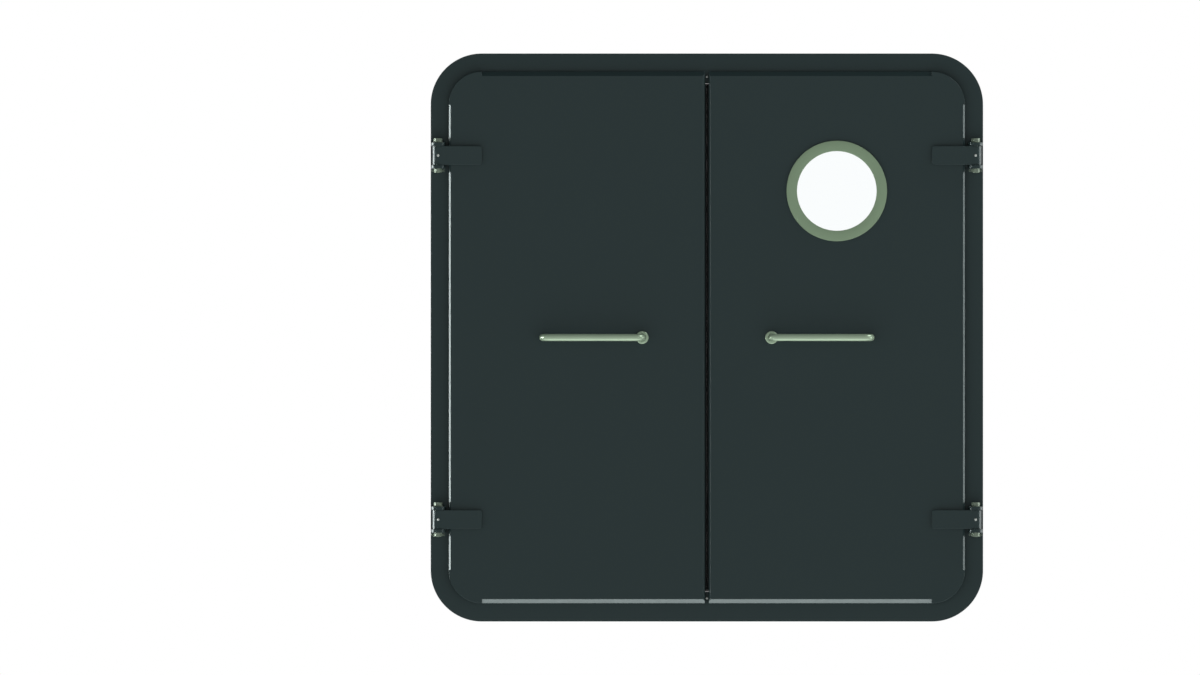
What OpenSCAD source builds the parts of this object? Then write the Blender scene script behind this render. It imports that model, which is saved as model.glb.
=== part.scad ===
/* [Frame] */
// Overall width of the frame
frame_w = 1945; // [1600:5:2400]
// Overall height of the frame
frame_h = 2000; // [1700:5:2600]
// Outer radius of the frame's corners
frame_corner_r = 180; // [140:5:240]
// Width of the frame's face that shows around the closed leaves
face_w = 64; // [56:1:80]
// How far the leaves lap over the frame's face plate
lap = 42; // [34:1:50]
// Thickness of the frame's face plate and coaming
plate_t = 8; // [5:1:12]
// How far the coaming runs back from the face plate
coaming_depth = 100; // [60:5:200]

/* [Leaves] */
// Gap between the two leaves where they meet
meeting_gap = 13; // [12:0.5:16]
// Gap around a leaf's rear casing, inside the coaming
rear_gap = 6; // [5:0.5:10]
// Thickness of the leaves' sheet steel
sheet_t = 2; // [1.5:0.5:3]
// Depth of a leaf's front pan
pan_depth = 20; // [18:0.5:28]
// Depth of a leaf's rear casing
casing_depth = 40; // [30:1:60]
// Width of the 45 degree bevel along a leaf's top and bottom edges
bevel_top_w = 15; // [8:1:16]
// Width of the 45 degree bevel along a leaf's hinge and meeting edges
bevel_side_w = 7; // [4:1:10]

/* [Seals] */
// Thickness of the rim seal behind each leaf's lap
rim_seal_t = 6; // [5:0.5:10]
// Width of the rim seal
rim_seal_w = 24; // [15:1:26]
// Running gap left in front of a seal
seal_gap = 0.3; // [0.2:0.1:0.6]
// Gap left between the two meeting seals
meeting_seal_gap = 1.2; // [1.2:0.1:2]

/* [Hinges] */
// Height of the upper and lower hinges above and below the middle of the frame
hinge_rise = 641; // [450:1:700]
// Distance of the hinge pins in from the frame's outer edges
pin_inset = 26; // [25:1:30]
// Outer radius of the knuckles
knuckle_r = 20; // [16:0.5:22]
// Height of the hinge straps and their knuckles
strap_h = 66; // [50:1:80]
// Thickness of the hinge straps at their rounded ends
strap_t = 12; // [8:0.5:14]
// Reach of the straps, from the frame's outer edge to their rounded ends
strap_reach = 180; // [150:1:260]
// Radius of the corners at a strap's end
strap_corner_r = 10; // [4:1:20]
// Nose radius of the frame's hinge lugs
lug_r = 25; // [21:0.5:25]
// Thickness of a hinge lug
lug_t = 12; // [8:0.5:16]
// Gap between a knuckle and the lugs above and below it
knuckle_gap = 1; // [0.5:0.1:2]
// Radius of a hinge bolt's shank
bolt_r = 8; // [6:0.5:10]
// Radial clearance of a hinge bolt in its holes
bolt_clearance = 0.05; // [0.02:0.01:0.1]

/* [Handles] */
// Height of the levers above the bottom of the frame
lever_z = 1000; // [900:5:1150]
// Distance of a lever's axis from the middle of the door
lever_x = 228; // [120:1:260]
// Length of a lever, from its axis to its far end
lever_length = 362; // [140:1:400]
// Radius of a lever's bar
lever_r = 12.5; // [8:0.5:14]
// Centre line radius of a lever's bends
lever_bend_r = 24; // [20:1:30]
// Distance of a lever's bar off the leaf's face, to the bar's centre line
lever_standoff = 60; // [50:1:70]
// Gap between a lever's return end and the leaf's face
lever_end_gap = 12; // [6:1:20]
// Radius of a lever's rose
rose_r = 22.5; // [20:0.5:30]
// Thickness of a lever's rose
rose_t = 10; // [4:0.5:14]
// Width of the square spindle between a leaf's two levers
spindle_w = 10; // [8:0.5:12]

/* [Window] */
// Height of the window's centre above the bottom of the frame
window_z = 1516; // [1350:1:1600]
// Radius of the clear glass inside the window's rings
window_r = 140; // [100:1:170]
// Width of the window's rings
ring_w = 37; // [25:1:45]
// Thickness of the window's rings
ring_t = 8; // [4:0.5:12]
// How far the rings reach in over the edge of the glass
ring_lap = 10; // [6:1:14]
// Thickness of the seals between the rings and the glass
window_seal_t = 6; // [4:0.5:8]

/* [Hidden] */
$fn = 96;

frame_colour = [0.16, 0.20, 0.20];
leaf_colour = [0.17, 0.21, 0.21];
strap_colour = [0.20, 0.24, 0.23];
steel_colour = [0.45, 0.50, 0.47];
ring_colour = [0.45, 0.53, 0.43];
lever_colour = [0.52, 0.60, 0.50];
seal_colour = [0.07, 0.08, 0.08];
glass_colour = [0.85, 0.93, 0.92, 0.35];

// Overshoot of a cutting shape past the face it opens
cut = 1;

plate_w = face_w + lap;
pan_back_y = -plate_t - rim_seal_t - seal_gap;
face_y = pan_back_y - pan_depth;
back_y = pan_back_y + casing_depth;
casing_inset = plate_w + rear_gap;
meet_x = meeting_gap / 2;
leaf_edge_x = frame_w / 2 - face_w;
rim_seal_inset = face_w + (lap - rim_seal_w) / 2;

pin_x = frame_w / 2 - pin_inset;
pin_y = face_y;
lug_z = strap_h / 2 + knuckle_gap;
strap_run = strap_reach - pin_inset;
strap_taper = acos(knuckle_r / norm([strap_run, strap_t])) + atan2(strap_t, strap_run) - 90;
hinge_zs = [frame_h / 2 + hinge_rise, frame_h / 2 - hinge_rise];

bolt_head_h = 11.5;
bolt_head_r = 15;
bolt_flare_h = 3;
bolt_flare_r = 17;
bolt_end = 1;
nut_h = 14;
split_pin_r = 1.75;
split_pin_length = 46;
split_pin_head_r = 3;

nipple_r = 4.5;
nipple_h = 5;
nipple_sink = 1;

stud_r = 4;
stud_h = 5;
stud_inset = 82;

meeting_seal_r = meet_x - meeting_seal_gap / 2;
meeting_seal_y = pan_back_y + meeting_seal_r;
meeting_seal_z = plate_w + seal_gap;

latch_plate_w = 20;
latch_plate_h = 220;
latch_plate_t = 1.5;
latch_plate_y = back_y - 4 - latch_plate_w;

lever_turn_gap = 0.5;
spindle_hole_r = 8;
window_x = (meet_x + leaf_edge_x) / 2;
glass_r = window_r + ring_lap;
liner_t = 3;
glass_gap = 0.3;

// Mirrors a part modelled on the right to the left for side -1, and leaves it for side 1.
module on_side(side) {
    mirror([side < 0 ? 1 : 0, 0, 0]) children();
}

// Mirrors a part modelled at the bottom to the top for level 1, and leaves it for level -1.
module on_level(level) {
    translate([0, 0, level > 0 ? frame_h : 0])
        mirror([0, 0, level > 0 ? 1 : 0]) children();
}

// Extrudes an outline drawn in the door's plane from y_front back to y_back.
module slab(y_front, y_back) {
    translate([0, y_back, 0])
        rotate([90, 0, 0])
            linear_extrude(y_back - y_front) children();
}

// A cylinder along Y from y_front to y_back.
module y_rod(x, z, r, y_front, y_back) {
    translate([x, y_back, z]) rotate([90, 0, 0]) cylinder(h = y_back - y_front, r = r);
}

// Outline of the frame, drawn in by an inset all round, with concentric corners.
module door_outline(inset) {
    r = frame_corner_r - inset;
    w = frame_w - 2 * inset;
    h = frame_h - 2 * inset;
    translate([-w / 2 + r, inset]) square([w - 2 * r, h]);
    translate([-w / 2, inset + r]) square([w, h - 2 * r]);
    for (x = [-w / 2 + r, w / 2 - r], z = [inset + r, inset + h - r])
        translate([x, z]) circle(r);
}

// Outline of the right leaf: the door's outline beyond its meeting edge.
module leaf_outline(inset, edge_x) {
    intersection() {
        door_outline(inset);
        translate([edge_x, 0]) square([frame_w, frame_h]);
    }
}

// Section of the frame: face plate and coaming, with x running in from the outer edge.
module frame_section() {
    polygon([
        [0, -plate_t],
        [plate_w, -plate_t],
        [plate_w, coaming_depth],
        [plate_w - plate_t, coaming_depth],
        [plate_w - plate_t, 0],
        [0, 0]
    ]);
}

module frame_rail(level) {
    length = frame_w - 2 * frame_corner_r;
    color(frame_colour)
        on_level(level)
            translate([length / 2, 0, 0])
                rotate([0, -90, 0])
                    linear_extrude(length) frame_section();
}

module frame_jamb(side) {
    color(frame_colour)
        on_side(side)
            translate([frame_w / 2, 0, frame_corner_r])
                mirror([1, 0, 0])
                    linear_extrude(frame_h - 2 * frame_corner_r) frame_section();
}

module frame_corner(side, level) {
    color(frame_colour)
        on_side(side)
            on_level(level)
                translate([frame_w / 2 - frame_corner_r, 0, frame_corner_r])
                    rotate([-90, 0, 0])
                        rotate_extrude(angle = 90)
                            translate([frame_corner_r, 0])
                                mirror([1, 0]) frame_section();
}

// Small studs on the frame's lip, in line with the gap between the leaves.
module centre_studs() {
    color(steel_colour)
        for (level = [-1, 1])
            on_level(level)
                y_rod(0, stud_inset, stud_r, -plate_t - stud_h, -plate_t);
}

// Round-nosed lugs above and below one knuckle, welded to the face plate.
module hinge_lugs(side, z) {
    color(frame_colour)
        on_side(side)
            for (lug_bottom = [z + lug_z, z - lug_z - lug_t])
                translate([pin_x, pin_y, lug_bottom])
                    difference() {
                        union() {
                            cylinder(h = lug_t, r = lug_r);
                            translate([-lug_r, 0, 0])
                                cube([2 * lug_r, -plate_t - pin_y, lug_t]);
                        }
                        translate([0, 0, -cut])
                            cylinder(h = lug_t + 2 * cut, r = bolt_r + bolt_clearance);
                    }
}

// Places a child at each of the four hinge pins, at the middle of the hinge.
module at_hinges() {
    for (side = [-1, 1], z = hinge_zs)
        on_side(side) translate([pin_x, pin_y, z]) children();
}

// Hole across a bolt or nut for its split pin.
module split_pin_hole() {
    translate([-split_pin_length / 2, 0, -lug_z - lug_t - nut_h / 2])
        rotate([0, 90, 0])
            cylinder(h = split_pin_length, r = split_pin_r + bolt_clearance);
}

module hinge_bolts() {
    shank_top = lug_z + lug_t;
    shank_h = 2 * shank_top + nut_h + bolt_end;
    color(steel_colour)
        at_hinges()
            difference() {
                union() {
                    translate([0, 0, shank_top - shank_h]) cylinder(h = shank_h, r = bolt_r);
                    translate([0, 0, shank_top])
                        cylinder(h = bolt_flare_h, r1 = bolt_flare_r, r2 = bolt_head_r * cos(30));
                    translate([0, 0, shank_top + bolt_flare_h])
                        cylinder(h = bolt_head_h, r = bolt_head_r, $fn = 6);
                }
                split_pin_hole();
            }
}

module hinge_nuts() {
    color(steel_colour)
        at_hinges()
            difference() {
                translate([0, 0, -lug_z - lug_t - nut_h])
                    cylinder(h = nut_h, r = bolt_head_r, $fn = 6);
                translate([0, 0, -lug_z - lug_t - nut_h - cut])
                    cylinder(h = nut_h + 2 * cut, r = bolt_r + bolt_clearance);
                split_pin_hole();
            }
}

module hinge_split_pins() {
    color(steel_colour)
        at_hinges()
            translate([-split_pin_length / 2, 0, -lug_z - lug_t - nut_h / 2]) {
                rotate([0, 90, 0]) cylinder(h = split_pin_length, r = split_pin_r);
                sphere(split_pin_head_r);
            }
}

// Prism that takes a 45 degree bevel of width w off an edge that runs along Z.
module bevel_prism(w, length) {
    linear_extrude(length)
        polygon([
            [-cut, -cut],
            [w + cut, -cut],
            [-cut, w + cut]
        ]);
}

// Front body of the right leaf, shrunk by a skin on all sides, with bevelled straight edges.
module pan_body(skin) {
    edge_x = meet_x + skin;
    inset = face_w + skin;
    straight_z = frame_h - 2 * frame_corner_r;
    straight_x = frame_w / 2 - frame_corner_r - edge_x;
    difference() {
        slab(face_y + skin, pan_back_y - skin) leaf_outline(inset, edge_x);
        translate([edge_x, face_y + skin, 0])
            bevel_prism(bevel_side_w, frame_h);
        translate([leaf_edge_x - skin, face_y + skin, frame_corner_r])
            mirror([1, 0, 0]) bevel_prism(bevel_side_w, straight_z);
        for (level = [-1, 1])
            on_level(level)
                translate([edge_x + straight_x, face_y + skin, inset])
                    rotate([0, -90, 0])
                        bevel_prism(bevel_top_w, straight_x + cut);
    }
}

// Holes through a skin of the leaf: the lever's spindle and, on the right, the window.
module leaf_holes(side, y_front, y_back) {
    y_rod(lever_x, lever_z, spindle_hole_r, y_front, y_back);
    if (side > 0)
        y_rod(window_x, window_z, glass_r + glass_gap, y_front, y_back);
}

// Front pan: the bevelled face sheet with a flange turned in behind its lap.
module leaf_pan(side) {
    color(leaf_colour)
        on_side(side)
            difference() {
                pan_body(0);
                pan_body(sheet_t);
                slab(pan_back_y - sheet_t - cut, pan_back_y + cut)
                    leaf_outline(casing_inset + sheet_t, meet_x + sheet_t);
                leaf_holes(side, face_y - cut, face_y + sheet_t + cut);
            }
}

// Rear casing: a tray that sits inside the coaming and closes the leaf's back.
module leaf_casing(side) {
    color(leaf_colour)
        on_side(side)
            difference() {
                slab(pan_back_y, back_y) leaf_outline(casing_inset, meet_x);
                slab(pan_back_y - cut, back_y - sheet_t)
                    leaf_outline(casing_inset + sheet_t, meet_x + sheet_t);
                leaf_holes(side, back_y - sheet_t - cut, back_y + cut);
            }
}

// Everything behind a strap's tapered front face, from its end to where it meets the knuckle.
module behind_strap_face() {
    translate([pin_x, pin_y, -cut])
        rotate([0, 0, strap_taper])
            translate([-2 * strap_run, -knuckle_r, 0])
                cube([2 * strap_run, 3 * knuckle_r, strap_h + 2 * cut]);
}

// Hinge strap: a plate that thickens from its rounded end and runs into the knuckle without a step.
// A flat is sunk in the knuckle's front for the nipple.
module hinge_strap(side, z) {
    end_x = pin_x - strap_run;
    color(strap_colour)
        on_side(side)
            translate([0, 0, z - strap_h / 2])
                difference() {
                    union() {
                        translate([pin_x, pin_y, 0]) cylinder(h = strap_h, r = knuckle_r);
                        intersection() {
                            slab(face_y - knuckle_r - cut, face_y) {
                                translate([end_x + strap_corner_r, 0])
                                    square([strap_run - strap_corner_r, strap_h]);
                                translate([end_x, strap_corner_r])
                                    square([strap_corner_r, strap_h - 2 * strap_corner_r]);
                                for (corner_z = [strap_corner_r, strap_h - strap_corner_r])
                                    translate([end_x + strap_corner_r, corner_z])
                                        circle(strap_corner_r);
                            }
                            behind_strap_face();
                        }
                    }
                    translate([pin_x, pin_y, -cut])
                        cylinder(h = strap_h + 2 * cut, r = bolt_r + bolt_clearance);
                    y_rod(pin_x, strap_h / 2, nipple_r, pin_y - knuckle_r - nipple_h,
                          pin_y - knuckle_r + nipple_sink);
                }
}

module grease_nipples(side) {
    color(steel_colour)
        on_side(side)
            for (z = hinge_zs)
                y_rod(pin_x, z, nipple_r, pin_y - knuckle_r - nipple_h,
                      pin_y - knuckle_r + nipple_sink);
}

// Soft strip behind the pan's lap, along the top, the hinge side and the bottom.
module rim_seal(side) {
    color(seal_colour)
        on_side(side)
            slab(pan_back_y, pan_back_y + rim_seal_t)
                difference() {
                    leaf_outline(rim_seal_inset, meet_x + sheet_t);
                    leaf_outline(rim_seal_inset + rim_seal_w, meet_x);
                }
}

// Half-round strip on the casing's meeting edge.
module meeting_seal(side) {
    color(seal_colour)
        on_side(side)
            translate([meet_x, meeting_seal_y, meeting_seal_z])
                difference() {
                    cylinder(h = frame_h - 2 * meeting_seal_z, r = meeting_seal_r);
                    translate([0, -meeting_seal_r - cut, -cut])
                        cube([meeting_seal_r + cut, 2 * (meeting_seal_r + cut), frame_h]);
                }
}

module latch_plate(side) {
    color(steel_colour)
        on_side(side)
            translate([meet_x - latch_plate_t, latch_plate_y, lever_z - latch_plate_h / 2])
                cube([latch_plate_t, latch_plate_w, latch_plate_h]);
}

module handle_roses(side) {
    color(lever_colour)
        on_side(side)
            for (y_front = [face_y - rose_t, back_y])
                difference() {
                    y_rod(lever_x, lever_z, rose_r, y_front, y_front + rose_t);
                    y_rod(lever_x, lever_z, lever_r + lever_turn_gap, y_front - cut,
                          y_front + rose_t + cut);
                }
}

// A quarter bend of the lever's bar in the XY plane, from the -Y side round to the +X side.
module lever_bend() {
    rotate([0, 0, -90])
        rotate_extrude(angle = -90)
            translate([lever_bend_r, 0]) circle(lever_r);
}

// A lever that stands out towards -Y from y = 0 at x = 0, with its bar along +X.
module lever_bar() {
    far_x = lever_length - lever_r;
    bend_y = lever_bend_r - lever_standoff;
    y_rod(0, 0, lever_r, bend_y, -lever_turn_gap);
    translate([lever_bend_r, bend_y, 0]) lever_bend();
    translate([lever_bend_r, -lever_standoff, 0])
        rotate([0, 90, 0])
            cylinder(h = far_x - 2 * lever_bend_r, r = lever_r);
    translate([far_x - lever_bend_r, bend_y, 0]) mirror([1, 0, 0]) lever_bend();
    y_rod(far_x, 0, lever_r, bend_y, -lever_end_gap);
}

module front_lever(side) {
    color(lever_colour)
        on_side(side)
            translate([lever_x, face_y, lever_z]) lever_bar();
}

module back_lever(side) {
    color(lever_colour)
        on_side(side)
            translate([lever_x, back_y, lever_z]) mirror([0, 1, 0]) lever_bar();
}

module spindle(side) {
    length = back_y - face_y + 2 * lever_turn_gap;
    color(steel_colour)
        on_side(side)
            translate([lever_x - spindle_w / 2, face_y - lever_turn_gap, lever_z - spindle_w / 2])
                cube([spindle_w, length, spindle_w]);
}

// A flat ring round the window's axis.
module window_annulus(outer_r, inner_r, y_front, y_back) {
    difference() {
        y_rod(window_x, window_z, outer_r, y_front, y_back);
        y_rod(window_x, window_z, inner_r, y_front - cut, y_back + cut);
    }
}

module window_ring(y_front) {
    color(ring_colour)
        window_annulus(window_r + ring_w, window_r, y_front, y_front + ring_t);
}

module window_liner() {
    color(leaf_colour)
        window_annulus(glass_r + glass_gap + liner_t, glass_r + glass_gap,
                       face_y + sheet_t, back_y - sheet_t);
}

module window_glass() {
    color(glass_colour)
        y_rod(window_x, window_z, glass_r, face_y + window_seal_t, back_y - window_seal_t);
}

module window_seals() {
    color(seal_colour)
        for (y_front = [face_y, back_y - window_seal_t])
            window_annulus(glass_r, window_r, y_front, y_front + window_seal_t);
}

frame_rail(1);  // frame_head
frame_rail(-1);  // frame_sill
frame_jamb(-1);  // frame_left_jamb
frame_jamb(1);  // frame_right_jamb
frame_corner(-1, 1);  // frame_top_left_corner
frame_corner(1, 1);  // frame_top_right_corner
frame_corner(-1, -1);  // frame_bottom_left_corner
frame_corner(1, -1);  // frame_bottom_right_corner
centre_studs();
hinge_lugs(-1, hinge_zs[0]);  // left_upper_hinge_lugs
hinge_lugs(-1, hinge_zs[1]);  // left_lower_hinge_lugs
hinge_lugs(1, hinge_zs[0]);  // right_upper_hinge_lugs
hinge_lugs(1, hinge_zs[1]);  // right_lower_hinge_lugs
hinge_bolts();
hinge_nuts();
hinge_split_pins();
leaf_pan(-1);  // left_leaf_pan
leaf_casing(-1);  // left_leaf_casing
hinge_strap(-1, hinge_zs[0]);  // left_upper_strap
hinge_strap(-1, hinge_zs[1]);  // left_lower_strap
grease_nipples(-1);  // left_grease_nipples
rim_seal(-1);  // left_rim_seal
meeting_seal(-1);  // left_meeting_seal
latch_plate(-1);  // left_latch_plate
handle_roses(-1);  // left_handle_roses
leaf_pan(1);  // right_leaf_pan
leaf_casing(1);  // right_leaf_casing
hinge_strap(1, hinge_zs[0]);  // right_upper_strap
hinge_strap(1, hinge_zs[1]);  // right_lower_strap
grease_nipples(1);  // right_grease_nipples
rim_seal(1);  // right_rim_seal
meeting_seal(1);  // right_meeting_seal
latch_plate(1);  // right_latch_plate
handle_roses(1);  // right_handle_roses
window_ring(face_y - ring_t);  // window_ring_front
window_ring(back_y);  // window_ring_back
window_liner();
window_glass();
window_seals();
front_lever(-1);  // left_front_lever
back_lever(-1);  // left_back_lever
spindle(-1);  // left_spindle
front_lever(1);  // right_front_lever
back_lever(1);  // right_back_lever
spindle(1);  // right_spindle
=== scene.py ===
"""Looks of the double-leaf fire door: paint, satin metal, seals, glass, light and camera."""

import math

import bmesh
import bpy
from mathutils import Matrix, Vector

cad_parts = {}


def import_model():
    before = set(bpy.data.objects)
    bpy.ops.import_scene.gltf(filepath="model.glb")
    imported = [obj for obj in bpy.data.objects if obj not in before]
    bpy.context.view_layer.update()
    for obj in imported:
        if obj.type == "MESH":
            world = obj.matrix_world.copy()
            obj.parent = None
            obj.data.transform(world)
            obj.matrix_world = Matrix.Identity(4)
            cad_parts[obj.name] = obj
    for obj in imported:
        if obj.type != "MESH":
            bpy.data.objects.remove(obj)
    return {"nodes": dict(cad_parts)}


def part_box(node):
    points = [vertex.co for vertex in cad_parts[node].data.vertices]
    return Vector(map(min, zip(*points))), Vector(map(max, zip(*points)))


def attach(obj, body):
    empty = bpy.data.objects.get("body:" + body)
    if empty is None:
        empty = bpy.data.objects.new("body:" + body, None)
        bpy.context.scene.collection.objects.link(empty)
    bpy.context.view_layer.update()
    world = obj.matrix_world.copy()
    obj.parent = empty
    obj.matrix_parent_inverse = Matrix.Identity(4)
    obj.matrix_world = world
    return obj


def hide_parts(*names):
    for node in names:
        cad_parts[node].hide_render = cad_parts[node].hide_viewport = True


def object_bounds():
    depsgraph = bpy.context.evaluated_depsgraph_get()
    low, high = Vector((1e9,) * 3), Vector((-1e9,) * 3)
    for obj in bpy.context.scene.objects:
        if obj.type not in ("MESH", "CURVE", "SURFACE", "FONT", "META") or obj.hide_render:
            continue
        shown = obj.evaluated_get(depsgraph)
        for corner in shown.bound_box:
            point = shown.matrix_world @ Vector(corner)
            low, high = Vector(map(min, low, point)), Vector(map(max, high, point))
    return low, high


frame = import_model()
cad_lo, cad_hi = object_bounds()

MM = 0.001
SIDES = {"left": -1, "right": 1}
FORWARD = Vector((0, -1, 0))

# Sizes that a node's box doesn't give.
COAMING_T = 8 * MM
STRAP_T = 12 * MM
STRAP_CORNER_R = 10 * MM
LUG_T = 12 * MM
BEVEL_TOP = 15 * MM
BEVEL_SIDE = 7 * MM
RIM_SEAL_W = 24 * MM
LINER_T = 3 * MM
RING_W = 37 * MM
BOLT_R = 8 * MM
BOLT_END = 1 * MM
HEAD_TOP = 14.5 * MM
FLARE_R = 17 * MM
FLARE_H = 3 * MM
HEX_APOTHEM = 15 * MM * math.cos(math.radians(30))
NUT_H = 14 * MM
SPLIT_PIN_REACH = 23 * MM
SPLIT_PIN_EYE_R = 3 * MM
LEVER_BEND_R = 24 * MM
LEVER_END_GAP = 12 * MM
ROSE_BORE_R = 13 * MM

# Sizes of what only the visual model has.
EDGE_R = 1.2 * MM
CASING_EDGE_R = 2 * MM
HINGE_EDGE_R = 1 * MM
PLATE_EDGE_R = 0.3 * MM
SEAL_END_GAP = 0.5 * MM
BULB_GAP = 0.02 * MM
RIB_COUNT = 3
RIB_HALF_W = 1.5 * MM
WELD_R = 2.6 * MM
WELD_STEP = 1.6 * MM
SCREW_R = 4.2 * MM
NOSE_W = 10 * MM
NOSE_H = 18 * MM
NOSE_RISE = 1.2 * MM
WIRE_R = 0.9 * MM
LEVER_CHAMFER = 1.2 * MM
RING_BEVEL = 1.8 * MM
GLASS_CHAMFER = 1 * MM
GASKET_LIP = 0.8 * MM
ARC_STEPS = 28
SMOOTH_BELOW = 32

# Light. A world level or panel is a strength, and the bands give where it fades in, as the
# first and last value of a direction's component.
LIGHT_BELOW = 1.5
LIGHT_ABOVE = 0.2
LIGHT_BAND_Z = (-0.2, 0.6)
FRONT_LEVEL = 0.18
BACK_LEVEL = 1.0
ROOM_BAND_Y = (-0.4, 0.3)
TOP_LEVEL = 0.0
TOP_BAND_Z = (0.25, 0.75)
LEFT_PANEL = 29.0
RIGHT_PANEL = 8.0
PANEL_BAND_X = (0.90, 0.96)
PANEL_BAND_Y = (-0.14, -0.02)
PANEL_FOOT_Z = (-0.20, -0.10)
PANEL_HEAD_Z = (0.01, 0.07)
LOW_PANEL = 0.85
LOW_BAND_Z = (-0.5, -0.9)
KEY_RADIANCE = 12.0
KEY_SIZE = (1.4, 1.4)
KEY_PLACE = (3.8, -0.4, 4.8)
SILL_RADIANCE = 0.19
SILL_SPREAD = 30
SILL_W = 0.06
SILL_Y = -0.042
FLOOR_LIGHT = 2.0
FLOOR_LIGHT_ANGLE = 35
FLOOR_LIGHT_TILT = (20, 15, 0)
FLOOR_REACH = 40.0
FLOOR_DROP = 0.5 * MM

# The view is 4.225 m wide and looks 376 mm to the left of the door's middle.
FRAMED_W = 4.225
OFF_CENTRE = 0.3763
CAMERA_Y = -8

# Places read from the frame.
HALF_W = cad_hi.x
HEIGHT = cad_hi.z
CORNER_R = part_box("frame_top_right_corner")[1].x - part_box("frame_top_right_corner")[0].x
jamb_lo, jamb_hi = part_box("frame_right_jamb")
PLATE_W = jamb_hi.x - jamb_lo.x
PLATE_Y = jamb_lo.y
COAMING_Y = jamb_hi.y
pan_lo, pan_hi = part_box("right_leaf_pan")
FACE_Y = pan_lo.y
PAN_BACK_Y = pan_hi.y
MEET_X = pan_lo.x
LAP_INSET = HALF_W - pan_hi.x
casing_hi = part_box("right_leaf_casing")[1]
BACK_Y = casing_hi.y
CASING_INSET = HALF_W - casing_hi.x
strap_lo, strap_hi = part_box("right_upper_strap")
KNUCKLE_R = (strap_hi.y - strap_lo.y) / 2
PIN = Vector((strap_hi.x - KNUCKLE_R, strap_lo.y + KNUCKLE_R, 0))
HINGE_LEVELS = {
    level: (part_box(f"right_{level}_strap")[0].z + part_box(f"right_{level}_strap")[1].z) / 2
    for level in ("upper", "lower")
}
rose_lo, rose_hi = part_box("right_handle_roses")
LEVER_AXIS = Vector(((rose_lo.x + rose_hi.x) / 2, 0, (rose_lo.z + rose_hi.z) / 2))
glass_lo, glass_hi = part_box("window_glass")
WINDOW = Vector(((glass_lo.x + glass_hi.x) / 2, 0, (glass_lo.z + glass_hi.z) / 2))


# ---------------------------------------------------------------- mesh tools

def loft(bm, rings, wrap=False):
    """Joins closed rings of as many points each with quads. Returns their rows of vertices."""
    rows = [[bm.verts.new(point) for point in ring] for ring in rings]
    pairs = list(zip(rows, rows[1:]))
    if wrap:
        pairs.append((rows[-1], rows[0]))
    for a, b in pairs:
        count = len(a)
        for i in range(count):
            j = (i + 1) % count
            bm.faces.new((a[i], a[j], b[j], b[i]))
    return rows


def loft_solid(bm, rings):
    """A loft whose first and last rings are closed with flat faces."""
    rows = loft(bm, rings)
    bm.faces.new(rows[0])
    bm.faces.new(rows[-1])


def arc(cx, cz, radius, start, end, steps=ARC_STEPS):
    """Points on an arc, in degrees."""
    angles = [math.radians(start + (end - start) * k / steps) for k in range(steps + 1)]
    return [(cx + radius * math.cos(a), cz + radius * math.sin(a)) for a in angles]


def fillet(points, radius, steps=3):
    """Rounds each corner of a closed 2D polygon."""
    rounded = []
    corners = [Vector(p) for p in points]
    for i, corner in enumerate(corners):
        start = corner + (corners[i - 1] - corner).normalized() * radius
        end = corner + (corners[(i + 1) % len(corners)] - corner).normalized() * radius
        for k in range(steps + 1):
            t = k / steps
            rounded.append(start * (1 - t) ** 2 + corner * 2 * t * (1 - t) + end * t ** 2)
    return rounded


def lathe_rings(profile, place, sides=64):
    """Rings of a turned shape. The profile holds (radius, height), which place maps to points."""
    turns = [2 * math.pi * k / sides for k in range(sides)]
    return [[place(r * math.cos(a), r * math.sin(a), h) for a in turns] for r, h in profile]


def hex_radius(angle, apothem):
    """Distance from a hexagon's middle to its side, with a corner at angle 0."""
    step = math.radians(60)
    return apothem / math.cos((angle % step) - step / 2)


def hex_ring(apothem, height, top, place, chamfer_r, sides=72):
    """A ring round a hex head, pulled down at its corners by a 30 degree chamfer. top is 1 or -1."""
    ring = []
    for k in range(sides):
        a = 2 * math.pi * k / sides
        r = hex_radius(a, apothem)
        drop = max(0.0, r - chamfer_r) * math.tan(math.radians(30))
        ring.append(place(r * math.cos(a), r * math.sin(a), height - top * drop))
    return ring


def tube_rings(points, radii, sides=32, up=Vector((0, 0, 1))):
    """Rings along a path. The path never runs along up."""
    rings = []
    for i, point in enumerate(points):
        ahead = points[min(i + 1, len(points) - 1)]
        behind = points[max(i - 1, 0)]
        along = (ahead - behind).normalized()
        side = along.cross(up).normalized()
        over = side.cross(along)
        r = radii[i] if isinstance(radii, list) else radii
        turns = [2 * math.pi * k / sides for k in range(sides)]
        rings.append([point + side * (r * math.cos(a)) + over * (r * math.sin(a)) for a in turns])
    return rings


def along_y(origin, direction=-1):
    """Places a turned shape along Y. Direction -1 makes its height run to the front."""
    return lambda x, y, h: Vector((origin.x + x, origin.y + direction * h, origin.z + y))


def along_z(origin):
    """Places a turned shape along Z, with its height running up."""
    return lambda x, y, h: Vector((origin.x + x, origin.y + y, origin.z + h))


def inwards(origin):
    """Places a turned shape of the right leaf along X, with its height running to the middle."""
    return lambda x, y, h: Vector((origin.x - h, origin.y + x, origin.z + y))


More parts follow.
